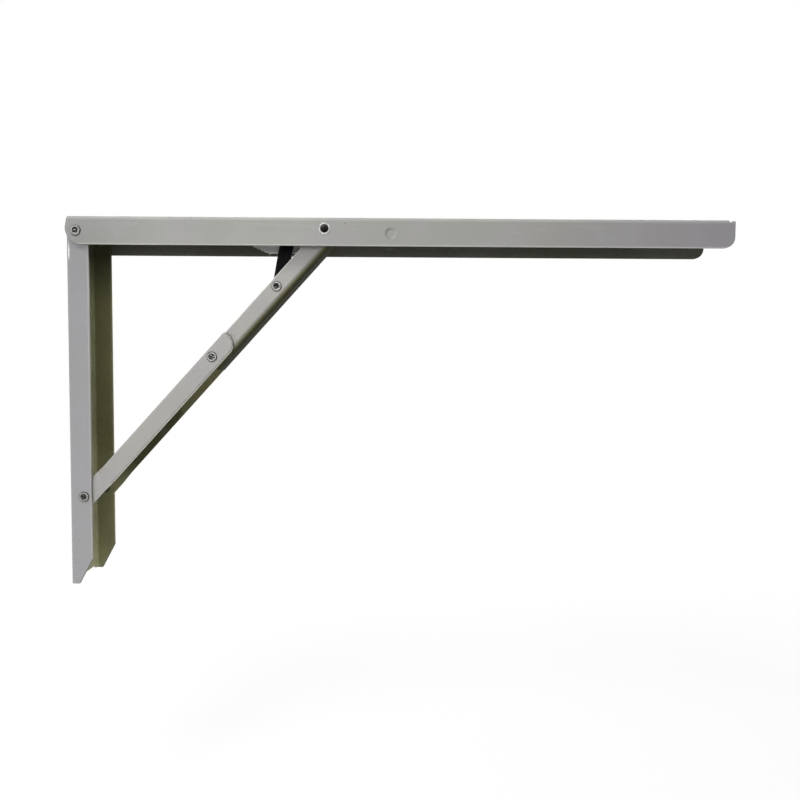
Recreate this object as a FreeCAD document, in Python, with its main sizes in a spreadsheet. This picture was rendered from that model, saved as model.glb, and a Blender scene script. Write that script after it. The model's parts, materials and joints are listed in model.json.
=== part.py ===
"""Folding support bracket for a drop leaf: two hinged channels held square by a two-piece brace.

Frame, in millimetres: X runs out from the wall along the leaf arm, Z is up, and Y runs across
the bracket. The origin lies on the wall face, level with the hinge axis. The bracket stands open.
"""
import FreeCAD, Part
import math
import os
import re

import Sketcher

SIZES = {
    # Sheet and fits
    "gauge": 2.0,
    "turn_clearance": 0.05,
    "seat_clearance": 0.02,
    "end_play": 0.05,
    # Leaf arm: channel with its web on top
    "leaf_start": 1.0,
    "leaf_length": 500.0,
    "leaf_width": 43.0,
    "leaf_rise": 11.0,
    "leaf_drop": 10.1,
    "leaf_heel_radius": 12.0,
    "leaf_toe_radius": 8.0,
    "leaf_heel_slant": 1.5,
    "leaf_heel_slant_drop": 8.5,
    "leaf_web_setback": 4.5,
    "leaf_flange_dip": 0.9,
    "leaf_relief_diameter": 2.4,
    "leaf_screw_diameter": 5.5,
    "leaf_screw_first": 75.0,
    "leaf_screw_end": 21.0,
    "dimple_place": 243.2,
    "dimple_drop": 0.8,
    "dimple_diameter": 9.0,
    "dimple_slope": 1.9,
    "dimple_depth": 1.2,
    # Wall arm: channel with its web on the wall
    "hinge_inset": 8.8,
    "wall_depth": 16.5,
    "wall_crown": 7.0,
    "wall_crown_radius": 7.2,
    "wall_drop": 267.4,
    "wall_toe_width": 6.4,
    "wall_toe_height": 19.2,
    "wall_web_setback": 2.4,
    "wall_web_margin": 3.0,
    "wall_screw_diameter": 5.5,
    "wall_screw_first": 45.0,
    "wall_screw_end": 32.4,
    "bend_outer": 2.6,
    "bend_inner": 0.8,
    # Brace pivots on the two arms
    "foot_inset": 10.8,
    "foot_drop": 200.4,
    "knee_place": 193.8,
    "knee_rise": 2.5,
    # Lower brace
    "lower_width": 29.6,
    "lower_back": 6.0,
    "lower_front": 8.0,
    "lower_overhang": 21.0,
    "lower_end_radius": 9.5,
    "lower_tip_radius": 2.2,
    "lower_bend": 1.6,
    "foot_radius": 6.6,
    "foot_gap": 0.2,
    "jog_start": 12.0,
    "jog_run": 7.0,
    "lower_web_end": 96.0,
    # Upper brace
    "upper_width": 23.4,
    "upper_back": 5.6,
    "upper_front": 9.6,
    "upper_tail": 5.0,
    "upper_head": 5.2,
    "upper_tip_radius": 3.6,
    "upper_bend_outer": 5.0,
    "upper_bend_inner": 3.0,
    # Rivets and washers
    "rivet_shank": 5.0,
    "rivet_head": 8.0,
    "rivet_rise": 0.9,
    "rivet_crater": 4.6,
    "rivet_crater_depth": 1.1,
    "rivet_tail": 7.6,
    "rivet_tail_rise": 1.2,
    "rivet_rim_round": 0.35,
    "washer_diameter": 12.0,
    "hinge_washer_thickness": 0.6,
    "elbow_washer_thickness": 0.9,
    # Knee tube and its spacers
    "tube_diameter": 8.5,
    "tube_bore": 6.4,
    "tube_stand": 0.5,
    "tube_round": 0.3,
    "spacer_diameter": 10.4,
    # Release lever and its pin
    "lever_place": 73.0,
    "lever_lean": 10.0,
    "lever_length": 42.0,
    "lever_width": 10.6,
    "lever_thickness": 3.0,
    "lever_round": 5.2,
    "lever_lip_start": 9.0,
    "lever_lip_end": 35.0,
    "lever_lip_depth": 4.0,
    "lever_lip_thickness": 1.5,
    "lever_pin_rise": 0.8,
    "bush_diameter": 9.0,
    # Toothed catch plate on the inside of the leaf arm
    "catch_left": 130.6,
    "catch_right": 173.0,
    "catch_top": 6.0,
    "catch_bottom": 8.1,
    "catch_thickness": 1.2,
    "catch_tooth_pitch": 3.0,
    "catch_tooth_rise": 1.4,
    "catch_tooth_hook": 2.6,
}
LEAF_SCREWS = 4
WALL_SCREWS = 3
CATCH_TEETH = 5
SIDES = {"front": -1, "back": 1}
EDGE_TOLERANCE = 0.001
RIGHT_ANGLE = 90.0
FULL_TURN = 360.0

# Sizes that follow from the pivots: in line when open, folding flat beside the wall arm
DERIVED = {
    "leaf_end": "leaf_start + leaf_length",
    "wall_width": "leaf_width - 2 * gauge - 2 * hinge_washer_thickness",
    "foot_width": "leaf_width - 4 * gauge - 2 * hinge_washer_thickness - 2 * foot_gap",
    "brace_span": "hypot(knee_place - foot_inset; knee_rise + foot_drop)",
    "lower_span": "(hypot(knee_place - foot_inset; knee_rise + foot_drop)"
                  " + hypot(foot_inset - hinge_inset; foot_drop)"
                  " - hypot(knee_place - hinge_inset; knee_rise)) / 2",
}

doc = FreeCAD.newDocument("drop_leaf_bracket")
sheet = doc.addObject("Spreadsheet::Sheet", "Sizes")
for row, (alias, value) in enumerate(SIZES.items(), start=1):
    sheet.set(f"A{row}", alias)
    sheet.set(f"B{row}", str(value))
    sheet.setAlias(f"B{row}", alias)
doc.recompute()


def spell(text):
    """Write a formula of size names as one that points at the sheet and the derived sizes."""
    def owner(match):
        word = match.group(0)
        if word in SIZES:
            return f"Sizes.{word}"
        if word in DERIVED:
            return f"Derived.{word}"
        return word
    return re.sub(r"[a-z][a-z_]*", owner, text)


derived = doc.addObject("App::VarSet", "Derived")
for name, formula in DERIVED.items():
    derived.addProperty("App::PropertyFloat", name)
    derived.setExpression(name, spell(formula))
derived.addProperty("App::PropertyAngle", "brace_angle")
derived.setExpression("brace_angle", spell("atan2(knee_rise + foot_drop; knee_place - foot_inset)"))
doc.recompute()

BRACE_ANGLE = "Derived.brace_angle"
ELBOW_X = "foot_inset + lower_span * (knee_place - foot_inset) / brace_span"
ELBOW_Z = "-foot_drop + lower_span * (knee_rise + foot_drop) / brace_span"
PIN_X = "foot_inset + (lower_span + lever_place) * (knee_place - foot_inset) / brace_span"
PIN_Z = "-foot_drop + (lower_span + lever_place) * (knee_rise + foot_drop) / brace_span"
TURN_HOLE = "rivet_shank + 2 * turn_clearance"
SEAT_HOLE = "rivet_shank + 2 * seat_clearance"

sub_parts = []


def new_body(label):
    body = doc.addObject("PartDesign::Body", label)
    body.Label = label
    sub_parts.append(body)
    return body


def place(body, x, y, z, angle="0", axis=(0, 1, 0)):
    """Set a body's place, turned about the given axis.

    An axis is kept only by a rotation that turns, so a right angle stands there until the angle is bound.
    """
    turn = FreeCAD.Rotation(FreeCAD.Vector(*axis), RIGHT_ANGLE)
    body.Placement = FreeCAD.Placement(FreeCAD.Vector(), turn)
    for coordinate, formula in zip("xyz", (x, y, z)):
        body.setExpression(f"Placement.Base.{coordinate}", spell(formula))
    body.setExpression("Placement.Rotation.Angle", angle)


def new_sketch(body, name, role, offset="0"):
    """Sketch on one of the body's origin planes, lifted off it by the given formula."""
    plane = next(item for item in body.Origin.OriginFeatures if item.Role == role)
    sketch = body.newObject("Sketcher::SketchObject", f"{body.Name}_{name}")
    sketch.AttachmentSupport = [(plane, "")]
    sketch.MapMode = "FlatFace"
    sketch.setExpression("AttachmentOffset.Base.z", spell(offset))
    return sketch


def tie(sketch, geometry, point, across, up):
    """Fix one sketch point by two formulas."""
    for kind, formula in (("DistanceX", across), ("DistanceY", up)):
        index = sketch.addConstraint(Sketcher.Constraint(kind, -1, 1, geometry, point, 1.0))
        sketch.setExpression(f"Constraints[{index}]", spell(formula))


def add_outline(sketch, corners):
    """Closed outline through corners, each a pair of formulas."""
    count = len(corners)
    turns = [2 * math.pi * index / count for index in range(count)]
    starts = [FreeCAD.Vector(math.cos(turn), math.sin(turn), 0) for turn in turns]
    lines = []
    for index in range(count):
        line = Part.LineSegment(starts[index], starts[(index + 1) % count])
        lines.append(sketch.addGeometry(line))
    for index in range(count):
        following = lines[(index + 1) % count]
        sketch.addConstraint(Sketcher.Constraint("Coincident", lines[index], 2, following, 1))
    for line, (across, up) in zip(lines, corners):
        tie(sketch, line, 1, across, up)


def add_rectangle(sketch, left, right, low, high):
    add_outline(sketch, [(left, low), (right, low), (right, high), (left, high)])


def add_circle(sketch, across, up, diameter):
    circle = Part.Circle(FreeCAD.Vector(1, 1, 0), FreeCAD.Vector(0, 0, 1), 1.0)
    geometry = sketch.addGeometry(circle)
    tie(sketch, geometry, 3, across, up)
    index = sketch.addConstraint(Sketcher.Constraint("Diameter", geometry, 2.0))
    sketch.setExpression(f"Constraints[{index}]", spell(diameter))


def pad(body, sketch, length, both_ways=False):
    feature = body.newObject("PartDesign::Pad", f"{sketch.Name}_pad")
    feature.Profile = sketch
    feature.setExpression("Length", spell(length))
    feature.SideType = "Symmetric" if both_ways else "One side"


def cut(body, sketch, length):
    """Cut through both sides of the sketch, half the length to each."""
    feature = body.newObject("PartDesign::Pocket", f"{sketch.Name}_cut")
    feature.Profile = sketch
    feature.setExpression("Length", spell(length))
    feature.SideType = "Symmetric"


def spin(body, sketch, feature_type):
    """Turn a sketch once round its own upright axis, to add or to take away."""
    feature = body.newObject(f"PartDesign::{feature_type}", f"{sketch.Name}_spun")
    feature.Profile = sketch
    feature.ReferenceAxis = (sketch, ["V_Axis"])
    feature.Angle = FULL_TURN


def size(formula):
    """Number that a formula of size names has now."""
    probe = doc.addObject("App::VarSet", "Probe")
    probe.addProperty("App::PropertyFloat", "number")
    probe.setExpression("number", spell(formula))
    probe.recompute()
    number = probe.number
    doc.removeObject(probe.Name)
    return number


def round_edges(body, name, radius, **where):
    """Round the edges that lie wholly at the given coordinates; y counts on both sides."""
    doc.recompute()
    base = body.Tip
    goals = {axis: size(formula) for axis, formula in where.items()}
    chosen = []
    for index, edge in enumerate(base.Shape.Edges, start=1):
        ends = [edge.valueAt(edge.FirstParameter), edge.valueAt(edge.LastParameter)]
        middle = edge.valueAt((edge.FirstParameter + edge.LastParameter) / 2)
        reach = {
            "x": [point.x for point in ends + [middle]],
            "y": [abs(point.y) for point in ends + [middle]],
            "z": [point.z for point in ends + [middle]],
        }
        if all(abs(value - goal) < EDGE_TOLERANCE for axis, goal in goals.items() for value in reach[axis]):
            chosen.append(f"Edge{index}")
    fillet = body.newObject("PartDesign::Fillet", f"{body.Name}_{name}")
    fillet.Base = (base, chosen)
    fillet.setExpression("Radius", spell(radius))


def cross_bores(body, name, holes):
    """Bores right across the body, along Y."""
    sketch = new_sketch(body, name, "XZ_Plane")
    for across, up, diameter in holes:
        add_circle(sketch, across, up, diameter)
    cut(body, sketch, "2 * leaf_width")


def leaf_arm():
    """Long top channel, open below, with rounded heel and toe and a dimple in each flange."""
    body = new_body("leaf_arm")
    side = new_sketch(body, "side", "XZ_Plane")
    add_rectangle(side, "leaf_start", "leaf_end", "-leaf_drop", "leaf_rise")
    pad(body, side, "leaf_width", both_ways=True)
    channel = new_sketch(body, "channel", "XZ_Plane")
    add_rectangle(channel, "leaf_start - gauge", "leaf_end + gauge",
                  "-leaf_drop - gauge", "leaf_rise - gauge")
    cut(body, channel, "leaf_width - 2 * gauge")
    round_edges(body, "heel", "leaf_heel_radius", x="leaf_start", z="-leaf_drop")
    round_edges(body, "toe", "leaf_toe_radius", x="leaf_end", z="-leaf_drop")
    round_edges(body, "outer_bend", "bend_outer", y="leaf_width / 2", z="leaf_rise")
    round_edges(body, "inner_bend", "bend_inner", y="leaf_width / 2 - gauge", z="leaf_rise - gauge")
    web_end = "leaf_end - leaf_web_setback"
    end = new_sketch(body, "web_end", "XY_Plane", "leaf_rise")
    add_rectangle(end, web_end, "leaf_end + gauge", "-leaf_width / 2 + gauge", "leaf_width / 2 - gauge")
    cut(body, end, "4 * gauge")
    slant = new_sketch(body, "heel_slant", "XZ_Plane")
    add_outline(slant, [
        ("leaf_start - gauge", "leaf_rise - leaf_heel_slant_drop"),
        ("leaf_start", "leaf_rise - leaf_heel_slant_drop"),
        ("leaf_start + leaf_heel_slant", "leaf_rise"),
        ("leaf_start + leaf_heel_slant", "leaf_rise + gauge"),
        ("leaf_start - gauge", "leaf_rise + gauge"),
    ])
    cut(body, slant, "2 * leaf_width")
    dip = new_sketch(body, "flange_dip", "XZ_Plane")
    add_rectangle(dip, web_end, "leaf_end + gauge", "leaf_rise - leaf_flange_dip", "leaf_rise + gauge")
    cut(body, dip, "2 * leaf_width")
    screws = new_sketch(body, "screws", "XY_Plane", "leaf_rise")
    spread = "leaf_end - leaf_screw_end - leaf_screw_first"
    for index in range(LEAF_SCREWS):
        add_circle(screws, f"leaf_screw_first + ({spread}) * {index} / {LEAF_SCREWS - 1}", "0",
                   "leaf_screw_diameter")
    cut(body, screws, "4 * gauge")
    cross_bores(body, "bores", [
        ("hinge_inset", "0", SEAT_HOLE),
        ("knee_place", "knee_rise", "tube_diameter + 2 * seat_clearance"),
        (f"{web_end} + leaf_relief_diameter / 2", "leaf_rise - leaf_flange_dip", "leaf_relief_diameter"),
    ])
    for name, side_sign in SIDES.items():
        dimple(body, name, side_sign)


def dimple(body, name, side_sign):
    """Round dent with sloping sides pressed into one flange from outside, standing proud inside."""
    for kind, feature_type, sunk in (("bump", "Revolution", "gauge"), ("dent", "Groove", "0")):
        sketch = new_sketch(body, f"{name}_{kind}", "XY_Plane", "-dimple_drop")
        sketch.setExpression("AttachmentOffset.Base.x", spell("dimple_place"))
        rim = f"{side_sign} * (leaf_width / 2 - {sunk})"
        floor = f"{side_sign} * (leaf_width / 2 - {sunk} - dimple_depth)"
        add_outline(sketch, [
            ("0", rim),
            ("dimple_diameter / 2", rim),
            ("dimple_diameter / 2 - dimple_slope", floor),
            ("0", floor),
        ])
        spin(body, sketch, feature_type)


def wall_arm():
    """Upright channel, open away from the wall, with a cut-away toe."""
    body = new_body("wall_arm")
    side = new_sketch(body, "side", "XZ_Plane")
    add_outline(side, [
        ("0", "-wall_drop"),
        ("wall_toe_width", "-wall_drop"),
        ("wall_depth", "-wall_drop + wall_toe_height"),
        ("wall_depth", "wall_crown"),
        ("0", "wall_crown"),
    ])
    pad(body, side, "wall_width", both_ways=True)
    channel = new_sketch(body, "channel", "XZ_Plane")
    add_rectangle(channel, "gauge", "wall_depth + gauge", "-wall_drop - gauge", "wall_crown + gauge")
    cut(body, channel, "wall_width - 2 * gauge")
    round_edges(body, "crown", "wall_crown_radius", x="wall_depth", z="wall_crown")
    round_edges(body, "outer_bend", "bend_outer", y="wall_width / 2", x="0")
    round_edges(body, "inner_bend", "bend_inner", y="wall_width / 2 - gauge", x="gauge")
    toe = new_sketch(body, "web_toe", "YZ_Plane")
    half_web = "(wall_width / 2 - wall_web_margin)"
    add_rectangle(toe, f"-{half_web}", half_web, "-wall_drop - gauge", "-wall_drop + wall_web_setback")
    cut(body, toe, "4 * gauge")
    screws = new_sketch(body, "screws", "YZ_Plane")
    spread = "wall_drop - wall_screw_end - wall_screw_first"
    for index in range(WALL_SCREWS):
        add_circle(screws, "0", f"-wall_screw_first - ({spread}) * {index} / {WALL_SCREWS - 1}",
                   "wall_screw_diameter")
    cut(body, screws, "4 * gauge")
    cross_bores(body, "bores", [
        ("hinge_inset", "0", TURN_HOLE),
        ("foot_inset", "-foot_drop", SEAT_HOLE),
    ])


def lower_brace():
    """Channel from the wall arm's foot pivot past the elbow; its flanges step out to the wall arm.

    The web stops short of the elbow, so that the upper brace can fold between the flanges.
    Its own frame starts at the foot pivot, X along the brace and Z towards the web.
    """
    body = new_body("lower_brace")
    end = "lower_span + lower_overhang"
    half = "lower_width / 2"
    ear = "foot_width / 2"
    jog_end = "jog_start + jog_run"
    flanges = new_sketch(body, "flanges", "XY_Plane", "-lower_front")
    for sign in SIDES.values():
        add_outline(flanges, [
            ("-foot_radius", f"{sign} * {ear}"),
            ("jog_start", f"{sign} * {ear}"),
            (jog_end, f"{sign} * {half}"),
            (end, f"{sign} * {half}"),
            (end, f"{sign} * ({half} - gauge)"),
            (jog_end, f"{sign} * ({half} - gauge)"),
            ("jog_start", f"{sign} * ({ear} - gauge)"),
            ("-foot_radius", f"{sign} * ({ear} - gauge)"),
        ])
    pad(body, flanges, "lower_front + lower_back")
    web = new_sketch(body, "web", "XY_Plane", "lower_back - gauge")
    inside = f"{half} - gauge / 2"
    add_rectangle(web, jog_end, "lower_web_end", f"-({inside})", inside)
    pad(body, web, "gauge")
    round_edges(body, "foot_front", "foot_radius", x="-foot_radius", z="-lower_front")
    round_edges(body, "foot_back", "lower_back", x="-foot_radius", z="lower_back")
    round_edges(body, "end", "lower_end_radius", x=end, z="-lower_front")
    round_edges(body, "tip", "lower_tip_radius", x=end, z="lower_back")
    round_edges(body, "bend", "lower_bend", y=half, z="lower_back")
    cross_bores(body, "bores", [("0", "0", TURN_HOLE), ("lower_span", "0", SEAT_HOLE)])
    place(body, "foot_inset", "0", "-foot_drop", f"-{BRACE_ANGLE}")


def upper_brace():
    """Narrower channel nested in the lower brace, with its web on the other side.

    Its own frame starts at the elbow, X towards the knee and Z towards the open side.
    """
    body = new_body("upper_brace")
    end = "brace_span - lower_span + upper_head"
    side = new_sketch(body, "side", "XZ_Plane")
    add_rectangle(side, "-upper_tail", end, "-upper_front", "upper_back")
    pad(body, side, "upper_width", both_ways=True)
    channel = new_sketch(body, "channel", "XZ_Plane")
    add_rectangle(channel, "-upper_tail - gauge", f"{end} + gauge",
                  "-upper_front + gauge", "upper_back + gauge")
    cut(body, channel, "upper_width - 2 * gauge")
    round_edges(body, "tail", "upper_tip_radius", x="-upper_tail", z="upper_back")
    round_edges(body, "head", "upper_tip_radius", x=end, z="upper_back")
    round_edges(body, "outer_bend", "upper_bend_outer", y="upper_width / 2", z="-upper_front")
    round_edges(body, "inner_bend", "upper_bend_inner", y="upper_width / 2 - gauge",
                z="-upper_front + gauge")
    cross_bores(body, "bores", [
        ("0", "0", SEAT_HOLE),
        ("lever_place", "0", SEAT_HOLE),
        ("brace_span - lower_span", "0", "tube_diameter + 2 * turn_clearance"),
    ])
    place(body, ELBOW_X, "0", ELBOW_Z, f"-{BRACE_ANGLE}")


def turned(label, profile):
    """Solid of revolution about its own Y axis, from corners of radius and height."""
    body = new_body(label)
    sketch = new_sketch(body, "profile", "XY_Plane")
    add_outline(sketch, profile)
    spin(body, sketch, "Revolution")
    return body


def ring(label, outer, bore, length):
    """Washer, bush or tube along its own Y axis, starting at its origin."""
    return turned(label, [
        (f"({bore}) / 2", "0"),
        (f"({outer}) / 2", "0"),
        (f"({outer}) / 2", length),
        (f"({bore}) / 2", length),
    ])


def head_corners(rise):
    """Rolled, cratered rivet head that seats at height zero and stands out below it."""
    return [
        ("0", f"-({rise}) + rivet_crater_depth"),
        ("rivet_crater / 4", f"-({rise}) + rivet_crater_depth"),
        ("rivet_crater / 2", f"-({rise})"),
        ("rivet_head / 2 - rivet_rim_round", f"-({rise})"),
        ("rivet_head / 2", f"-({rise}) + rivet_rim_round"),
        ("rivet_head / 2", "0"),
        ("rivet_shank / 2", "0"),
    ]


def tail_corners(grip):
    """Set end of a rivet, seated at the given height."""
    return [
        ("rivet_shank / 2", grip),
        ("rivet_tail / 2", grip),
        ("rivet_tail / 2", f"{grip} + rivet_tail_rise - rivet_rim_round"),
        ("rivet_tail / 2 - rivet_rim_round", f"{grip} + rivet_tail_rise"),
        ("0", f"{grip} + rivet_tail_rise"),
    ]


def place_on_side(body, side_sign, x, distance, z):
    """Stand a turned piece on one side, its own Y axis pointing inwards."""
    angle = "180" if side_sign > 0 else "0"
    place(body, x, f"{side_sign} * ({distance})", z, angle, axis=(0, 0, 1))


def rivet(label, side_sign, x, face, z, grip):
    """Rivet with its head on the outer face and its set end at the far side of the grip."""
    body = turned(label, head_corners("rivet_rise") + tail_corners(grip))
    place_on_side(body, side_sign, x, face, z)


def side_pieces(side, side_sign):
    """Rivets, washers, spacer and bush that are alike on the two sides."""
    rivet(f"hinge_rivet_{side}", side_sign, "hinge_inset", "leaf_width / 2", "0",
          "2 * gauge + hinge_washer_thickness + end_play")
    washer = ring(f"hinge_washer_{side}", "washer_diameter", TURN_HOLE, "hinge_washer_thickness")
    place_on_side(washer, side_sign, "hinge_inset", "leaf_width / 2 - gauge", "0")
    rivet(f"foot_rivet_{side}", side_sign, "foot_inset", "wall_width / 2", "-foot_drop",
          "2 * gauge + foot_gap + end_play")

    stub = [("rivet_shank / 2", "gauge"), ("0", "gauge")]
    head = turned(f"elbow_rivet_{side}", head_corners("rivet_rise") + stub)
    place_on_side(head, side_sign, ELBOW_X, "lower_width / 2", ELBOW_Z)
    tail = turned(f"elbow_tail_{side}", [("0", "0"), ("rivet_shank / 2", "0")] + tail_corners("gauge"))
    place_on_side(tail, side_sign, ELBOW_X, "upper_width / 2", ELBOW_Z)
    washer = ring(f"elbow_washer_{side}", "washer_diameter", "rivet_shank", "elbow_washer_thickness")
    place_on_side(washer, side_sign, ELBOW_X, "upper_width / 2 + elbow_washer_thickness", ELBOW_Z)

    spacer = ring(f"knee_spacer_{side}", "spacer_diameter", "tube_diameter + 2 * seat_clearance",
                  "(leaf_width - upper_width) / 2 - gauge - end_play")
    place_on_side(spacer, side_sign, "knee_place", "leaf_width / 2 - gauge", "knee_rise")
    bush = ring(f"lever_bush_{side}", "bush_diameter", TURN_HOLE,
                "(upper_width - lever_thickness) / 2 - gauge - end_play")
    place_on_side(bush, side_sign, PIN_X, "upper_width / 2 - gauge - end_play", PIN_Z)


def knee_tube():
    """Hollow pivot across the leaf arm, its ends standing a little proud."""
    body = ring("knee_tube", "tube_diameter", "tube_bore", "leaf_width + 2 * tube_stand")
    for name, height in (("near", "0"), ("far", "leaf_width + 2 * tube_stand")):
        round_edges(body, f"{name}_rim", "tube_round", y=height)
    place(body, "knee_place", "-leaf_width / 2 - tube_stand", "knee_rise")


def lever_pin():
    """Pin across the upper brace with a low rolled head at each end."""
    near = head_corners("lever_pin_rise")
    far = [(radius, f"upper_width - ({height})") for radius, height in reversed(near)]
    body = turned("lever_pin", near + far)
    place(body, PIN_X, "-upper_width / 2", PIN_Z)


def release_lever():
    """Flat black lever with a folded edge, leaning on its pin between the brace's flanges.

    Its own frame starts at the pin, X towards the tip and Z towards the folded edge.
    """
    body = new_body("release_lever")
    edge = "lever_width / 2"
    side = new_sketch(body, "side", "XZ_Plane")
    add_rectangle(side, f"-{edge}", "lever_length", f"-{edge}", edge)
    pad(body, side, "lever_thickness", both_ways=True)
    for name, x in (("eye", f"-{edge}"), ("tip", "lever_length")):
        for face, z in (("low", f"-{edge}"), ("high", edge)):
            round_edges(body, f"{name}_{face}", "lever_round", x=x, z=z)
    lip = new_sketch(body, "lip", "XY_Plane", f"{edge} - lever_lip_thickness")
    add_rectangle(lip, "lever_lip_start", "lever_lip_end", "0", "lever_thickness / 2 + lever_lip_depth")
    pad(body, lip, "lever_lip_thickness")
    cross_bores(body, "bore", [("0", "0", TURN_HOLE)])
    place(body, PIN_X, "0", PIN_Z, spell("-90 + lever_lean"))


def catch_plate():
    """Plate on the inside of the back flange, toothed along its slanting lower edge."""
    body = new_body("catch_plate")
    side = new_sketch(body, "side", "XZ_Plane", "-(leaf_width / 2 - gauge)")
    corners = [("catch_left", "catch_top")]
    for tooth in range(CATCH_TEETH):
        rung = CATCH_TEETH - tooth
        x = f"catch_left + {tooth} * catch_tooth_pitch"
        z = f"-catch_bottom + {rung} * catch_tooth_rise"
        corners.append((x, z))
        corners.append((f"{x} + catch_tooth_pitch", f"{z} - catch_tooth_hook"))
    corners.append((f"catch_left + {CATCH_TEETH} * catch_tooth_pitch", "-catch_bottom"))
    corners.append(("catch_right", "-catch_bottom"))
    corners.append(("catch_right", "catch_top"))
    add_outline(side, corners)
    pad(body, side, "catch_thickness")


leaf_arm()
wall_arm()
lower_brace()
upper_brace()
knee_tube()
lever_pin()
release_lever()
catch_plate()
for side, side_sign in SIDES.items():
    side_pieces(side, side_sign)
doc.recompute()

for item in doc.Objects:
    if "Invalid" in item.State or "Error" in item.State:
        raise RuntimeError(f"{item.Label} failed: {item.State}")
for body in sub_parts:
    if body.Shape.isNull() or not body.Shape.isValid():
        raise RuntimeError(f"{body.Label} has no valid shape")

os.makedirs("parts", exist_ok=True)
for body in sub_parts:
    body.Shape.exportStep(f"parts/{body.Label}.step")
    print(f"{body.Label}: {len(body.Shape.Solids)} solid, {body.Shape.Volume:.1f} mm3")
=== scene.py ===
"""Looks of the folding drop leaf bracket: satin grey paint, rolled rivets, a black release lever."""
import json
import math

import bmesh
import bpy
from mathutils import Euler, Matrix, Vector

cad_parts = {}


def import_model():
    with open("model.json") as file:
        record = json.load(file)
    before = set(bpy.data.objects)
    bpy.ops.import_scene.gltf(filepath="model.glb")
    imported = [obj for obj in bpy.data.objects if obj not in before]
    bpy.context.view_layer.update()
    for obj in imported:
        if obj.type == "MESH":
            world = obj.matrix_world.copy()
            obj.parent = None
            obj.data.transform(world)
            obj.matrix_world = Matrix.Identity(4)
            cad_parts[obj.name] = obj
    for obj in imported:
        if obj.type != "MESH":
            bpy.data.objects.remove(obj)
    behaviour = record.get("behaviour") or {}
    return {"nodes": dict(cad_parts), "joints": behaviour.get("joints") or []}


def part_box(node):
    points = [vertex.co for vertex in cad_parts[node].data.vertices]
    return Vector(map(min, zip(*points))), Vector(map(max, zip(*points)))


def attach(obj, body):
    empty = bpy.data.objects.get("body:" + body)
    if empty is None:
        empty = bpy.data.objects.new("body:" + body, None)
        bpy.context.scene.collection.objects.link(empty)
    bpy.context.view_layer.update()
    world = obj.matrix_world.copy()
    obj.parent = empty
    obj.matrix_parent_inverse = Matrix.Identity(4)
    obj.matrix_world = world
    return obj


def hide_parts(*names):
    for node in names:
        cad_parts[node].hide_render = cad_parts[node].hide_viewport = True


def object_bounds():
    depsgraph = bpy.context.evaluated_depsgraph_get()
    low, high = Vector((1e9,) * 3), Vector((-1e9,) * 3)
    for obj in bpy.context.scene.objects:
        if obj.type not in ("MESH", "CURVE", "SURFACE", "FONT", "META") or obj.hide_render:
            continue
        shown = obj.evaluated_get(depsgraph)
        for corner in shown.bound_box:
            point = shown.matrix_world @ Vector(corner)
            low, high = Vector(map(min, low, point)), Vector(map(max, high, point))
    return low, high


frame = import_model()
cad_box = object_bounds()

MM = 0.001
IMAGE_SIZE = 800
SENSOR_WIDTH = 36.0

# Camera at the photograph's viewing angle: place in metres, angles in degrees, lens and shift in pixels
CAMERA_PLACE = (0.23473, -0.44214, -0.10210)
CAMERA_YAW = -0.300
CAMERA_PITCH = -2.262
CAMERA_ROLL = -0.302
FOCAL_PIXELS = 558.7
SHIFT_PIXELS = (-18.6, -8.6)

# The floor lies below the end of the folded leaf arm, and shows more of its shade near the bracket
FOLDED_SHARE = 0.96
FLOOR_HEIGHT = cad_box[0].x - FOLDED_SHARE * (cad_box[1].x - cad_box[0].x)
FLOOR_MIDDLE = 0.25
FLOOR_REACH = 3.0
FLOOR_NEAR = 0.50
FLOOR_FAR = 1.20
FLOOR_NEAR_GLOW = 1.15
FLOOR_NEAR_FADE = 0.66

# Even light from all around, and the point that the lamps are aimed at
SOFT_LIGHT = 0.26
SOFT_TINT = (0.97, 0.98, 1.0, 1.0)
LAMP_AIM = (0.15, 0.0, -0.08)

# Directions in the bracket's frame, and a scale that leaves every axis as it is
OUT = (1.0, 0.0, 0.0)
BACK = (-1.0, 0.0, 0.0)
ACROSS = (0.0, 1.0, 0.0)
UP = (0.0, 0.0, 1.0)
DOWN = (0.0, 0.0, -1.0)
EVEN = (1.0, 1.0, 1.0)

# Frame of the braces: along them from the foot pivot, and towards the lower brace's web
JOINTS = {joint["name"]: Vector(joint["pos_m"]) for joint in frame["joints"]}
FOOT = JOINTS["lower_swing"]
KNEE = JOINTS["upper_swing"]
BRACE_LINE = (KNEE - FOOT).normalized()
BRACE_BACK = Vector((-BRACE_LINE.z, 0.0, BRACE_LINE.x))

# Sheet and the faces of the braces, as in the solids, and the limits that tell inner faces and cut edges
GAUGE = 2.0 * MM
LOWER_HALF = 14.8 * MM
LOWER_BACK = 6.0 * MM
JOG_START = 12.0 * MM
JOG_END = 19.0 * MM
UPPER_BACK = 5.6 * MM
UPPER_FRONT = 9.6 * MM
MASK_SLACK = 0.4 * MM
EDGE_FACING = -0.8

# Rivets and the knee tube's bore
HEAD_RISE = 0.9 * MM
PIN_HEAD_RISE = 0.8 * MM
SHANK_RADIUS = 2.5 * MM
TAIL_RADIUS = 3.8 * MM
TAIL_RISE = 1.2 * MM
TUBE_BORE_RADIUS = 3.2 * MM
TUBE_BORE_SLACK = 0.12 * MM
RIVET_STEPS = 40
CLEAN, CRATER, GRIME_AND_SEAM_SHADE = range(3)

# Rounded edges, made after points that coincide are welded and the facets of a flat face are joined
WELD_REACH = 0.002 * MM
FLAT_ANGLE = math.radians(0.1)
EDGE_ANGLE = math.radians(20.0)
EDGE_ROUND = 0.3 * MM
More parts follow.
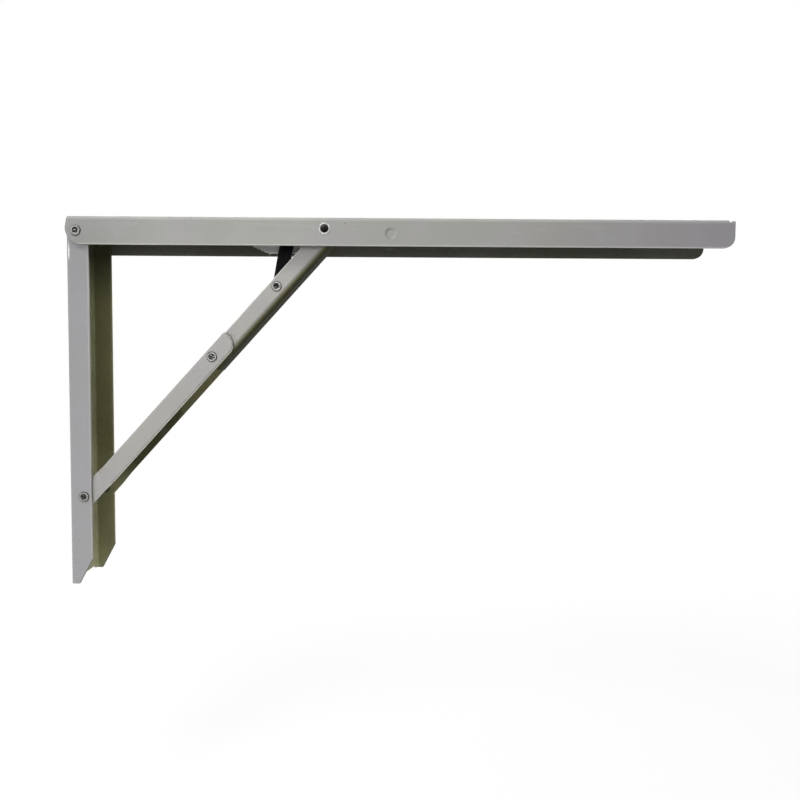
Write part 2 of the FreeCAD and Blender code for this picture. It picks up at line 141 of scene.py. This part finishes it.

# Where the paint, its painted shade or the olive changes along each piece, and the way the scuffs run
LEAF_HEEL_REACH = (20.0 * MM, 75.0 * MM)
LEAF_TOE_SHARE = 0.6
LEAF_GRAIN = (0.12, 1.0, 1.6)
WALL_FOOT_SHARE = 0.9
WALL_SHADE_REACH = (12.0 * MM, 48.0 * MM)
WALL_WEB_REACH = (0.2 * MM, 2.0 * MM)
WALL_GRAIN = (1.6, 1.0, 0.12)
LOWER_FOOT_REACH = (8.0 * MM, 34.0 * MM)
LOWER_EDGE_SKIP = 3.0 * MM

# Painted highlights along the rims, on the leaf's bend and on the wall arm's bend near its head; paint
# chipped beside the knee
RIM_HIGHLIGHT = (0.3 * MM, 1.1 * MM)
BEND_HIGHLIGHT = (0.3 * MM, 3.4 * MM)
UPPER_RIM_HIGHLIGHT = (0.2 * MM, 0.9 * MM)
HIGHLIGHT_OUT = 2.3 * MM
HIGHLIGHT_DOWN = 15.0 * MM
HIGHLIGHT_SCALE = (1.0, 1.0, 0.10)
HIGHLIGHT_REACH = 0.9 * MM
CHIP_OUT = 15.2 * MM
CHIP_UP = 3.7 * MM
CHIP_REACH = (0.30 * MM, 0.62 * MM)

# Paint of each piece, from one end to the other, with painted shade, painted highlights and pale wear, and
# the olive of the inner faces, also used as painted shade
PAINT_LEAF_HEEL = (0.264, 0.268, 0.247, 1.0)
PAINT_LEAF = (0.338, 0.336, 0.306, 1.0)
PAINT_LEAF_TOE_SHADE = (0.272, 0.260, 0.272, 1.0)
PAINT_WALL_HEAD_SHADE = (0.268, 0.268, 0.275, 1.0)
PAINT_WALL_FOOT_LIGHT = (0.346, 0.344, 0.348, 1.0)
PAINT_BRACE = (0.380, 0.372, 0.346, 1.0)
PAINT_COOL = (0.352, 0.342, 0.378, 1.0)
PAINT_DARK = (0.260, 0.256, 0.250, 1.0)
PAINT_WORN_AND_HIGHLIT = (0.660, 0.650, 0.590, 1.0)
PAINT_EDGE_HIGHLIGHT = (0.950, 0.930, 0.820, 1.0)
OLIVE_WALL = (0.340, 0.334, 0.182, 1.0)
OLIVE_WALL_WEB = (0.640, 0.630, 0.390, 1.0)
OLIVE_DUST_AND_SHADE = (0.050, 0.050, 0.022, 1.0)
OLIVE_LOWER = (0.130, 0.124, 0.058, 1.0)
OLIVE_UPPER_SHADE = (0.125, 0.120, 0.036, 1.0)
OLIVE_LEAF = (0.124, 0.122, 0.102, 1.0)

# Bare metal and the dirt on it, with painted shade and glints in the rivet craters and seams, and a plate
# paler as painted light
STEEL_DULL = (0.190, 0.185, 0.170, 1.0)
SOIL_AND_SHADE_DARK = (0.016, 0.015, 0.012, 1.0)
FLECK_PALE = (0.800, 0.780, 0.730, 1.0)
GRIME_AND_SHADE_DARK = (0.045, 0.043, 0.032, 1.0)
ZINC_LIT_WARM = (0.700, 0.700, 0.660, 1.0)


class Shader:
    """Node tree of one material, built by short calls."""

    def __init__(self, name):
        self.material = bpy.data.materials.new(name)
        self.material.use_nodes = True
        self.tree = self.material.node_tree
        self.tree.nodes.clear()
        self.output = self.tree.nodes.new("ShaderNodeOutputMaterial")
        self.bsdf = self.tree.nodes.new("ShaderNodeBsdfPrincipled")
        self.link(self.bsdf.outputs[0], self.output.inputs["Surface"])
        coordinates = self.tree.nodes.new("ShaderNodeTexCoord")
        self.place = coordinates.outputs["Object"]
        self.normal = coordinates.outputs["Normal"]

    def link(self, source, target):
        self.tree.links.new(source, target)

    def put(self, socket, value):
        if isinstance(value, bpy.types.NodeSocket):
            self.link(value, socket)
        else:
            socket.default_value = value

    def set(self, **values):
        """Set the shader's sockets, named with underscores."""
        for name, value in values.items():
            self.put(self.bsdf.inputs[name.replace("_", " ")], value)

    def math(self, operation, first, second=0.0):
        node = self.tree.nodes.new("ShaderNodeMath")
        node.operation = operation
        self.put(node.inputs[0], first)
        self.put(node.inputs[1], second)
        return node.outputs[0]

    def vector(self, operation, first, second):
        node = self.tree.nodes.new("ShaderNodeVectorMath")
        node.operation = operation
        self.put(node.inputs[0], first)
        self.put(node.inputs[1], second)
        return node

    def along(self, direction):
        """How far a point lies along a direction, from the frame's origin."""
        return self.vector("DOT_PRODUCT", self.place, direction).outputs["Value"]

    def facing(self, direction):
        """How squarely the surface faces a direction."""
        return self.vector("DOT_PRODUCT", self.normal, direction).outputs["Value"]

    def distance(self, point, scale=EVEN):
        """Distance from a point, with each axis weighed by the scale."""
        offset = self.vector("SUBTRACT", self.place, point).outputs["Vector"]
        weighed = self.vector("MULTIPLY", offset, scale).outputs["Vector"]
        return self.vector("LENGTH", weighed, (0.0, 0.0, 0.0)).outputs["Value"]

    def noise(self, scale, detail=3.0, roughness=0.5, stretch=EVEN):
        """Noise over the object, with about so many features to the metre."""
        mapping = self.tree.nodes.new("ShaderNodeMapping")
        mapping.inputs["Scale"].default_value = stretch
        self.link(self.place, mapping.inputs["Vector"])
        node = self.tree.nodes.new("ShaderNodeTexNoise")
        node.inputs["Scale"].default_value = scale
        node.inputs["Detail"].default_value = detail
        node.inputs["Roughness"].default_value = roughness
        self.link(mapping.outputs["Vector"], node.inputs["Vector"])
        return node.outputs[0]

    def spread(self, value, low, high, to_low=0.0, to_high=1.0):
        """Value moved from one range to another, held at its ends."""
        node = self.tree.nodes.new("ShaderNodeMapRange")
        self.link(value, node.inputs["Value"])
        node.inputs["From Min"].default_value = low
        node.inputs["From Max"].default_value = high
        node.inputs["To Min"].default_value = to_low
        node.inputs["To Max"].default_value = to_high
        return node.outputs["Result"]

    def mix(self, factor, first, second):
        node = self.tree.nodes.new("ShaderNodeMix")
        node.data_type = "RGBA"
        self.put(node.inputs["Factor"], factor)
        self.put(node.inputs["A"], first)
        self.put(node.inputs["B"], second)
        return node.outputs["Result"]

    def bump(self, height, strength, distance):
        node = self.tree.nodes.new("ShaderNodeBump")
        node.inputs["Strength"].default_value = strength
        node.inputs["Distance"].default_value = distance
        self.link(height, node.inputs["Height"])
        self.link(node.outputs["Normal"], self.bsdf.inputs["Normal"])


def grey(level):
    return (level, level, level, 1.0)


def inside_of_channel(shader, web_direction, web_inside, half_inside):
    """One on a folded channel's inner faces, which lie short of its web and between its flanges."""
    across = shader.math("ABSOLUTE", shader.along(ACROSS))
    between = shader.math("LESS_THAN", shader.math("SUBTRACT", across, half_inside), MASK_SLACK)
    short = shader.math("LESS_THAN", shader.along(web_direction), web_inside + MASK_SLACK)
    return shader.math("MULTIPLY", between, short)


def cut_edges(shader, web_direction, side):
    """One on the flange edges away from the web, on the side of the bracket that Y times the side gives."""
    edge = shader.math("LESS_THAN", shader.facing(web_direction), EDGE_FACING)
    here = shader.math("GREATER_THAN", shader.along((0.0, side, 0.0)), 0.0)
    return shader.math("MULTIPLY", edge, here)


def finish_paint(shader, paint, olive_and_shade, olive_tone, grain):
    """Satin paint with faint clouding, dust and scuffs, and a matt olive under the mask: the inner faces,
    and painted shade where the callers put it.
    """
    cloud = shader.noise(14.0, detail=5.0)
    patch = shader.noise(32.0, detail=2.0)
    dust = shader.noise(1100.0, detail=2.0)
    scuff = shader.noise(60.0, detail=6.0, roughness=0.65, stretch=grain)
    paint = shader.mix(shader.spread(patch, 0.48, 0.66, 0.0, 0.30), paint, PAINT_COOL)
    paint = shader.mix(shader.spread(cloud, 0.35, 0.65, 0.0, 0.16), paint, PAINT_DARK)
    paint = shader.mix(shader.spread(scuff, 0.60, 0.78, 0.0, 0.22), paint, PAINT_WORN_AND_HIGHLIT)
    paint = shader.mix(shader.spread(dust, 0.64, 0.74, 0.0, 0.40), paint, PAINT_DARK)
    olive_tone = shader.mix(shader.spread(cloud, 0.35, 0.65, 0.0, 0.35), olive_tone, OLIVE_DUST_AND_SHADE)
    olive_tone = shader.mix(shader.spread(scuff, 0.58, 0.74, 0.0, 0.25), olive_tone, PAINT_DARK)
    olive_tone = shader.mix(shader.spread(dust, 0.62, 0.72, 0.0, 0.55), olive_tone, OLIVE_DUST_AND_SHADE)
    worn = shader.spread(scuff, 0.4, 0.8, 0.0, 0.12)
    sheen = shader.math("ADD", shader.spread(cloud, 0.3, 0.7, 0.40, 0.50), worn)
    shader.set(
        Base_Color=shader.mix(olive_and_shade, paint, olive_tone),
        Specular_IOR_Level=0.3,
        Roughness=shader.math("ADD", sheen, shader.math("MULTIPLY", olive_and_shade, 0.5)),
    )
    peel = shader.noise(420.0, detail=2.0)
    shader.bump(shader.math("ADD", peel, shader.math("MULTIPLY", scuff, 0.5)), 0.14, 0.15 * MM)


def painted_highlight(shader, paint, point, scale, reach):
    """Painted highlight around a point, its extent along each axis divided by the scale."""
    ragged = shader.spread(shader.noise(800.0), 0.3, 0.7, 0.0, 0.3 * reach)
    away = shader.math("ADD", shader.distance(point, scale), ragged)
    return shader.mix(shader.spread(away, 0.5 * reach, reach, 0.9, 0.0), paint, grey(0.95))


def leaf_paint():
    """Paint darker at the heel, with painted shade towards the toe, painted highlights on the bend and the
    lower rim, painted shade on the far cut edges, and one small chip.
    """
    shader = Shader("leaf_paint")
    low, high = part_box("leaf_arm")
    along = shader.along(OUT)
    paint = shader.mix(shader.spread(along, *LEAF_HEEL_REACH), PAINT_LEAF_HEEL, PAINT_LEAF)
    # Painted shade towards the toe, where less light falls
    paint = shader.mix(shader.spread(along, LEAF_TOE_SHARE * high.x, high.x), paint, PAINT_LEAF_TOE_SHADE)
    chip = shader.distance((KNEE.x + CHIP_OUT, low.y, KNEE.z + CHIP_UP))
    paint = shader.mix(shader.spread(chip, *CHIP_REACH, 0.8, 0.0), paint, grey(0.05))
    rise = shader.along(UP)
    # Painted highlights: a pale band along the top bend and a pale line along the lower rim
    bend_highlight = shader.spread(rise, high.z - BEND_HIGHLIGHT[1], high.z - BEND_HIGHLIGHT[0], 0.0, 0.5)
    bend_highlight = shader.math("MULTIPLY", bend_highlight, shader.spread(shader.facing(UP), 0.80, 0.98, 1.0, 0.0))
    rim = shader.spread(rise, low.z + RIM_HIGHLIGHT[0], low.z + RIM_HIGHLIGHT[1], 0.45, 0.0)
    paint = shader.mix(shader.math("MAXIMUM", bend_highlight, rim), paint, PAINT_WORN_AND_HIGHLIT)
    inside = inside_of_channel(shader, UP, high.z - GAUGE, high.y - GAUGE)
    # Far cut edges take the dark olive as painted shade
    olive_and_shade = shader.math("MAXIMUM", inside, cut_edges(shader, UP, 1.0))
    finish_paint(shader, paint, olive_and_shade, OLIVE_LEAF, LEAF_GRAIN)
    return shader.material


def wall_paint():
    """Painted shading, darker at the head and lighter towards the foot, painted highlights on the head's
    bend and the free edge, over an olive paler on the web; painted shade on the olive towards the head, on
    the far cut edges and on cut faces that look down.
    """
    shader = Shader("wall_paint")
    low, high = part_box("wall_arm")
    down = shader.along(DOWN)
    # Painted shading: darker towards the head, lighter towards the foot
    paint = shader.mix(shader.spread(down, 0.0, -WALL_FOOT_SHARE * low.z), PAINT_WALL_HEAD_SHADE, PAINT_WALL_FOOT_LIGHT)
    # Painted highlight on the bend near the head
    paint = painted_highlight(shader, paint, (HIGHLIGHT_OUT, low.y, -HIGHLIGHT_DOWN), HIGHLIGHT_SCALE, HIGHLIGHT_REACH)
    out = shader.along(OUT)
    # Painted highlight along the flanges' free edge
    rim = shader.spread(out, high.x - RIM_HIGHLIGHT[1], high.x - RIM_HIGHLIGHT[0], 0.0, 0.3)
    paint = shader.mix(rim, paint, PAINT_WORN_AND_HIGHLIT)
    web = shader.spread(out, GAUGE + WALL_WEB_REACH[0], GAUGE + WALL_WEB_REACH[1], 1.0, 0.0)
    olive_tone = shader.mix(web, OLIVE_WALL, OLIVE_WALL_WEB)
    # Painted shade on the olive towards the head, under the leaf arm
    olive_tone = shader.mix(shader.spread(down, *WALL_SHADE_REACH, 0.9, 0.0), olive_tone, OLIVE_DUST_AND_SHADE)
    # Painted shade on cut faces that look down
    shaded_under = shader.spread(shader.facing(DOWN), 0.30, 0.42, 0.0, 0.9)
    paint = shader.mix(shaded_under, paint, grey(0.02))
    olive_tone = shader.mix(shaded_under, olive_tone, grey(0.02))
    inside = inside_of_channel(shader, BACK, -GAUGE, high.y - GAUGE)
    # Far cut edges take the dark olive as painted shade
    olive_and_shade = shader.math("MAXIMUM", inside, cut_edges(shader, BACK, 1.0))
    finish_paint(shader, paint, olive_and_shade, olive_tone, WALL_GRAIN)
    return shader.material


def lower_paint():
    """The flanges step out at the foot, so the limit of the inner faces follows them; painted highlight
    along the near cut edges, painted shade on the far ones.
    """
    shader = Shader("lower_paint")
    ear_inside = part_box("lower_brace")[1].y - GAUGE
    start = FOOT.dot(BRACE_LINE)
    along = shader.along(BRACE_LINE)
    limit = shader.spread(along, start + JOG_START, start + JOG_END, ear_inside, LOWER_HALF - GAUGE)
    inside = inside_of_channel(shader, BRACE_BACK, FOOT.dot(BRACE_BACK) + LOWER_BACK - GAUGE, limit)
    # Far cut edges take the dark olive as painted shade
    olive_and_shade = shader.math("MAXIMUM", inside, cut_edges(shader, BRACE_BACK, 1.0))
    # Painted highlight along the near cut edges past the jog
    past_jog = shader.math("GREATER_THAN", along, start + JOG_END + LOWER_EDGE_SKIP)
    lit_near_edge = shader.math("MULTIPLY", cut_edges(shader, BRACE_BACK, -1.0), past_jog)
    paint = shader.mix(lit_near_edge, PAINT_BRACE, PAINT_EDGE_HIGHLIGHT)
    foot = shader.spread(along, start + LOWER_FOOT_REACH[0], start + LOWER_FOOT_REACH[1], 1.0, 0.0)
    olive_tone = shader.mix(foot, OLIVE_LOWER, OLIVE_WALL)
    finish_paint(shader, paint, olive_and_shade, olive_tone, EVEN)
    return shader.material


def upper_paint():
    """Painted highlight along the free edge, and painted shade over the large bend towards the web, olive
    dark and then near black on the web's face.
    """
    shader = Shader("upper_paint")
    front = -BRACE_BACK
    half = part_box("upper_brace")[1].y
    inside = inside_of_channel(shader, front, FOOT.dot(front) + UPPER_FRONT - GAUGE, half - GAUGE)
    turned_under = shader.facing(front)
    # Painted shade over the large bend and the web's outer face: olive dark, then near black
    olive_and_shade = shader.math("MAXIMUM", inside, shader.spread(turned_under, 0.05, 0.66))
    olive_tone = shader.mix(shader.spread(turned_under, 0.58, 0.92, 0.0, 0.85), OLIVE_UPPER_SHADE, grey(0.012))
    edge = FOOT.dot(BRACE_BACK) + UPPER_BACK
    back = shader.along(BRACE_BACK)
    # Painted highlight along the free edge
    rim = shader.spread(back, edge - UPPER_RIM_HIGHLIGHT[1], edge - UPPER_RIM_HIGHLIGHT[0], 0.0, 0.6)
    paint = shader.mix(rim, PAINT_BRACE, PAINT_EDGE_HIGHLIGHT)
    finish_paint(shader, paint, olive_and_shade, olive_tone, EVEN)
    return shader.material


def rivet_steel():
    """Grey steel of the rivets, dull in patches."""
    shader = Shader("rivet_steel")
    scuff = shader.noise(900.0, detail=4.0)
    shader.set(
        Base_Color=shader.mix(shader.spread(scuff, 0.40, 0.64), grey(0.30), STEEL_DULL),
        Metallic=0.35,
        Roughness=shader.spread(scuff, 0.35, 0.65, 0.34, 0.54),
    )
    shader.bump(scuff, 0.35, 0.2 * MM)
    return shader.material


def crater_soil_and_shade():
    """Dark metal in the rolled ends' craters: painted shade of the hollow over dirt, with a few painted
    glints.
    """
    shader = Shader("crater_soil_and_shade")
    scuff = shader.noise(850.0, detail=4.0)
    shader.set(
        Base_Color=shader.mix(shader.spread(scuff, 0.55, 0.68), SOIL_AND_SHADE_DARK, grey(0.60)),
        Roughness=shader.spread(scuff, 0.35, 0.65, 0.75, 0.38),
        Specular_IOR_Level=0.15,
    )
    shader.bump(scuff, 0.6, 0.3 * MM)
    return shader.material


def grime_and_seam_shade():
    """Matt olive dark: painted shade in the seam around the rivet heads, and the dark olive of their inner
    ends.
    """
    shader = Shader("grime_and_seam_shade")
    cloud = shader.noise(500.0, detail=3.0)
    shader.set(
        Base_Color=shader.mix(shader.spread(cloud, 0.40, 0.68), GRIME_AND_SHADE_DARK, OLIVE_LOWER),
        Roughness=0.85,
        Specular_IOR_Level=0.1,
    )
    shader.bump(cloud, 0.3, 0.1 * MM)
    return shader.material


def tube_steel():
    """Bright rim and outside, with a dark bore flecked pale."""
    shader = Shader("tube_steel")
    scuff = shader.noise(700.0, detail=4.0)
    rim = shader.mix(shader.spread(scuff, 0.42, 0.58), grey(0.62), grey(0.30))
    bore_tone = shader.mix(shader.spread(scuff, 0.40, 0.62), grey(0.060), FLECK_PALE)
    reach = shader.distance(KNEE, (1.0, 0.0, 1.0))
    bore = shader.math("LESS_THAN", reach, TUBE_BORE_RADIUS + TUBE_BORE_SLACK)
    shader.set(
        Base_Color=shader.mix(bore, rim, bore_tone),
        Metallic=shader.spread(bore, 0.0, 1.0, 0.25, 0.0),
        Roughness=shader.spread(bore, 0.0, 1.0, 0.36, 0.75),
    )
    shader.bump(scuff, 0.3, 0.2 * MM)
    return shader.material


def black_paint():
    """Black paint of the release lever, scuffed grey in places."""
    shader = Shader("black_paint")
    cloud = shader.noise(120.0, detail=4.0)
    scuff = shader.noise(260.0, detail=5.0, roughness=0.7)
    base = shader.mix(shader.spread(cloud, 0.4, 0.7), grey(0.003), grey(0.008))
    shader.set(
        Base_Color=shader.mix(shader.spread(scuff, 0.66, 0.80, 0.0, 0.5), base, grey(0.05)),
        Roughness=shader.spread(cloud, 0.3, 0.7, 0.46, 0.62),
        Specular_IOR_Level=0.05,
    )
    shader.bump(shader.noise(600.0), 0.15, 0.1 * MM)
    return shader.material


def zinc_plate():
    """Pale, clouded zinc of the catch plate, made paler than it is as painted light where it lies in shade.
    """
    shader = Shader("zinc_plate")
    cloud = shader.noise(160.0, detail=4.0)
    shader.set(
        Base_Color=shader.mix(shader.spread(cloud, 0.35, 0.65), ZINC_LIT_WARM, grey(0.84)),
        Metallic=0.15,
        Roughness=shader.spread(cloud, 0.3, 0.7, 0.40, 0.60),
    )
    shader.bump(shader.noise(500.0), 0.2, 0.1 * MM)
    return shader.material


def dress(node_name, material):
    """Give a solid its finish and softly rounded edges."""
    node = frame["nodes"][node_name]
    node.data.materials.clear()
    node.data.materials.append(material)
    weld = node.modifiers.new("weld", "WELD")
    weld.merge_threshold = WELD_REACH
    flat = node.modifiers.new("flat_faces", "DECIMATE")
    flat.decimate_type = "DISSOLVE"
    flat.angle_limit = FLAT_ANGLE
    bevel = node.modifiers.new("edges", "BEVEL")
    bevel.width = EDGE_ROUND
    bevel.segments = 2
    bevel.limit_method = "ANGLE"
    bevel.angle_limit = EDGE_ANGLE
    normals = node.modifiers.new("normals", "WEIGHTED_NORMAL")
    normals.mode = "FACE_AREA"
    normals.weight = 100


def ripple(angle, centre):
    """How a rolled end strays around its ring: two waves, which start elsewhere on each rivet."""
    return math.sin(3.0 * angle + 900.0 * centre.x) + 0.7 * math.sin(7.0 * angle + 700.0 * centre.z)


def lathe(name, profile, centre, direction, body, node_name, materials):
    """Turned piece along Y that stands for a node.

    Each row of the profile has a radius, a depth from the outer end, how far the surface strays there
    and the material from there to the next row; a row with no radius closes the piece.
    """
    bm = bmesh.new()
    rings = []
    for radius, depth, stray, _ in profile:
        if radius == 0.0:
            rings.append([bm.verts.new((centre.x, centre.y + direction * depth, centre.z))])
            continue
        ring = []
        for step in range(RIVET_STEPS):
            angle = 2.0 * math.pi * step / RIVET_STEPS
            swing = ripple(angle, centre)
            reach = radius - 0.5 * stray * swing
            rise = direction * (depth + stray * swing)
            ring.append(bm.verts.new((centre.x + reach * math.cos(angle), centre.y + rise,
                                      centre.z + reach * math.sin(angle))))
        rings.append(ring)
    for first, second, (_, _, _, finish) in zip(rings, rings[1:], profile):
        for step in range(RIVET_STEPS):
            following = (step + 1) % RIVET_STEPS
            corners = [first[step % len(first)], second[step % len(second)]]
            if len(second) > 1:
                corners.append(second[following])
            if len(first) > 1:
                corners.append(first[following])
            face = bm.faces.new(corners)
            face.smooth = True
            face.material_index = finish
    bmesh.ops.recalc_face_normals(bm, faces=bm.faces)
    mesh = bpy.data.meshes.new(name)
    bm.to_mesh(mesh)
    bm.free()
    for material in materials:
        mesh.materials.append(material)
    piece = bpy.data.objects.new(name, mesh)
    bpy.context.scene.collection.objects.link(piece)
    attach(piece, body)
    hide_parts(node_name)


def rolled_head(rise):
    """Rows of a rolled rivet end, from the middle of its crater out and down to its seat."""
    # Painted shade and glints in the crater
    crater = [
        (0.0, 1.00, 0.0),
        (0.75, 0.85, 0.10),
        (1.30, 1.02, 0.09),
        (1.75, 0.78, 0.08),
        (2.05, 0.38, 0.06),
    ]
    ring = [(2.30, 0.10, 0.03), (2.70, 0.01, 0.0), (3.10, 0.0, 0.0)]
    # Painted shade in the seam around the head
    rim = [(3.50, 0.07, 0.0), (3.80, 0.26, 0.0), (3.95, 0.52, 0.0), (4.00, rise / MM, 0.0)]
    rows = []
    for part, finish in ((crater, CRATER), (ring, CLEAN), (rim, GRIME_AND_SEAM_SHADE)):
        rows += [(radius * MM, depth * MM, stray * MM, finish) for radius, depth, stray in part]
    return rows


def set_tail(length):
    """Rows of a rivet's set end, from the shank to its closed middle."""
    seat = length - TAIL_RISE
    outline = [
        (SHANK_RADIUS, seat),
        (TAIL_RADIUS, seat),
        (TAIL_RADIUS, seat + 0.6 * TAIL_RISE),
        (0.86 * TAIL_RADIUS, length - 0.06 * MM),
        (0.60 * TAIL_RADIUS, length),
        (0.0, length),
    ]
    return [(radius, depth, 0.0, GRIME_AND_SEAM_SHADE) for radius, depth in outline]


def rivets(materials):
    """Rolled rivets in place of the plain turned ones."""
    bodies = {"hinge_rivet": "leaf", "foot_rivet": "wall", "elbow_rivet": "lower"}
    for kind, body in bodies.items():
        for side, direction in (("front", 1.0), ("back", -1.0)):
            node = f"{kind}_{side}"
            low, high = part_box(node)
            length = high.y - low.y
            centre = 0.5 * (low + high)
            centre.y = low.y if direction > 0.0 else high.y
            rows = rolled_head(HEAD_RISE) + [(SHANK_RADIUS, HEAD_RISE, 0.0, CLEAN)]
            if kind == "elbow_rivet":
                rows += [(SHANK_RADIUS, length, 0.0, CLEAN), (0.0, length, 0.0, CLEAN)]
            else:
                rows += set_tail(length)
            lathe(f"rolled_{node}", rows, centre, direction, body, node, materials)


def pin(materials):
    """Lever pin with a rolled end on each side."""
    low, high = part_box("lever_pin")
    length = high.y - low.y
    centre = 0.5 * (low + high)
    centre.y = low.y
    half = rolled_head(PIN_HEAD_RISE) + [(SHANK_RADIUS, PIN_HEAD_RISE, 0.0, CLEAN)]
    backwards = list(reversed(half))
    finishes = [finish for _, _, _, finish in backwards[1:]] + [CRATER]
    far = [(radius, length - depth, -stray, finish)
           for (radius, depth, stray, _), finish in zip(backwards, finishes)]
    lathe("rolled_lever_pin", half + far, centre, 1.0, "upper", "lever_pin", materials)


def dress_all():
    """Give every solid its finish, and put the rolled rivets in place."""
    steel = rivet_steel()
    special = {
        "leaf_arm": leaf_paint(),
        "wall_arm": wall_paint(),
        "lower_brace": lower_paint(),
        "upper_brace": upper_paint(),
        "release_lever": black_paint(),
        "catch_plate": zinc_plate(),
        "knee_tube": tube_steel(),
    }
    for name in sorted(frame["nodes"]):
        dress(name, special.get(name, steel))
    ends = [steel, crater_soil_and_shade(), grime_and_seam_shade()]
    rivets(ends)
    pin(ends)


def seen_rays(tree):
    """One on rays from the camera, and on those that gloss or glass sends on."""
    rays = tree.nodes.new("ShaderNodeLightPath")
    seen = rays.outputs["Is Camera Ray"]
    for kind in ("Is Glossy Ray", "Is Transmission Ray"):
        either = tree.nodes.new("ShaderNodeMath")
        either.operation = "MAXIMUM"
        tree.links.new(seen, either.inputs[0])
        tree.links.new(rays.outputs[kind], either.inputs[1])
        seen = either.outputs[0]
    return seen


def floor():
    """Pale floor, almost white, that keeps a soft shadow."""
    mesh = bpy.data.meshes.new("floor")
    reach = FLOOR_REACH
    corners = [(-reach, -reach, 0.0), (reach, -reach, 0.0), (reach, reach, 0.0), (-reach, reach, 0.0)]
    mesh.from_pydata(corners, [], [(0, 1, 2, 3)])
    item = bpy.data.objects.new("floor", mesh)
    item.location = (FLOOR_MIDDLE, 0.0, FLOOR_HEIGHT)
    bpy.context.scene.collection.objects.link(item)
    shader = Shader("floor")
    shader.set(Base_Color=grey(0.80), Roughness=0.9)
    glow = shader.tree.nodes.new("ShaderNodeEmission")
    glow.inputs["Color"].default_value = grey(1.0)
    away = shader.distance((0.0, 0.0, 0.0))
    shader.link(shader.spread(away, FLOOR_NEAR, FLOOR_FAR, FLOOR_NEAR_GLOW, 1.0), glow.inputs["Strength"])
    fade = shader.spread(away, FLOOR_NEAR, FLOOR_FAR, FLOOR_NEAR_FADE, 1.0)
    blend = shader.tree.nodes.new("ShaderNodeMixShader")
    shader.link(shader.math("MULTIPLY", fade, seen_rays(shader.tree)), blend.inputs["Fac"])
    shader.link(shader.bsdf.outputs[0], blend.inputs[1])
    shader.link(glow.outputs[0], blend.inputs[2])
    shader.link(blend.outputs[0], shader.output.inputs["Surface"])
    mesh.materials.append(shader.material)


def world():
    """White behind the bracket, and a soft even light on it."""
    scene_world = bpy.data.worlds.new("studio")
    bpy.context.scene.world = scene_world
    scene_world.use_nodes = True
    tree = scene_world.node_tree
    tree.nodes.clear()
    white = tree.nodes.new("ShaderNodeBackground")
    white.inputs["Color"].default_value = grey(1.0)
    white.inputs["Strength"].default_value = 1.0
    soft = tree.nodes.new("ShaderNodeBackground")
    soft.inputs["Color"].default_value = SOFT_TINT
    soft.inputs["Strength"].default_value = SOFT_LIGHT
    blend = tree.nodes.new("ShaderNodeMixShader")
    tree.links.new(seen_rays(tree), blend.inputs["Fac"])
    tree.links.new(soft.outputs[0], blend.inputs[1])
    tree.links.new(white.outputs[0], blend.inputs[2])
    output = tree.nodes.new("ShaderNodeOutputWorld")
    tree.links.new(blend.outputs[0], output.inputs["Surface"])


def lamp(name, place, size, watts):
    """Square lamp that shines at the bracket's middle."""
    data = bpy.data.lights.new(name, "AREA")
    data.size = size
    data.energy = watts
    item = bpy.data.objects.new(name, data)
    item.location = place
    item.rotation_euler = (Vector(LAMP_AIM) - Vector(place)).to_track_quat("-Z", "Y").to_euler()
    bpy.context.scene.collection.objects.link(item)


def lights():
    lamp("key", (-0.10, -1.15, 0.05), size=0.4, watts=4.4)
    lamp("top", (-0.15, -0.60, 0.90), size=0.4, watts=7.0)
    lamp("rim", (-1.10, -0.55, 0.35), size=0.5, watts=3.0)
    lamp("back", (0.40, 1.60, 0.55), size=1.2, watts=18.0)


def camera():
    """Camera that looks along +Y, turned by the photograph's small angles."""
    data = bpy.data.cameras.new("camera")
    data.sensor_width = SENSOR_WIDTH
    data.lens = FOCAL_PIXELS * SENSOR_WIDTH / IMAGE_SIZE
    data.shift_x = -SHIFT_PIXELS[0] / IMAGE_SIZE
    data.shift_y = SHIFT_PIXELS[1] / IMAGE_SIZE
    data.clip_start = 0.01
    item = bpy.data.objects.new("camera", data)
    angles = [math.radians(angle) for angle in (CAMERA_PITCH, CAMERA_ROLL, CAMERA_YAW)]
    turn = Euler(angles, "YXZ").to_matrix() @ Matrix.Rotation(math.radians(90.0), 3, "X")
    item.matrix_world = Matrix.Translation(CAMERA_PLACE) @ turn.to_4x4()
    bpy.context.scene.collection.objects.link(item)
    bpy.context.scene.camera = item


bpy.context.scene.view_settings.view_transform = "Standard"
camera()
world()
lights()
floor()
dress_all()
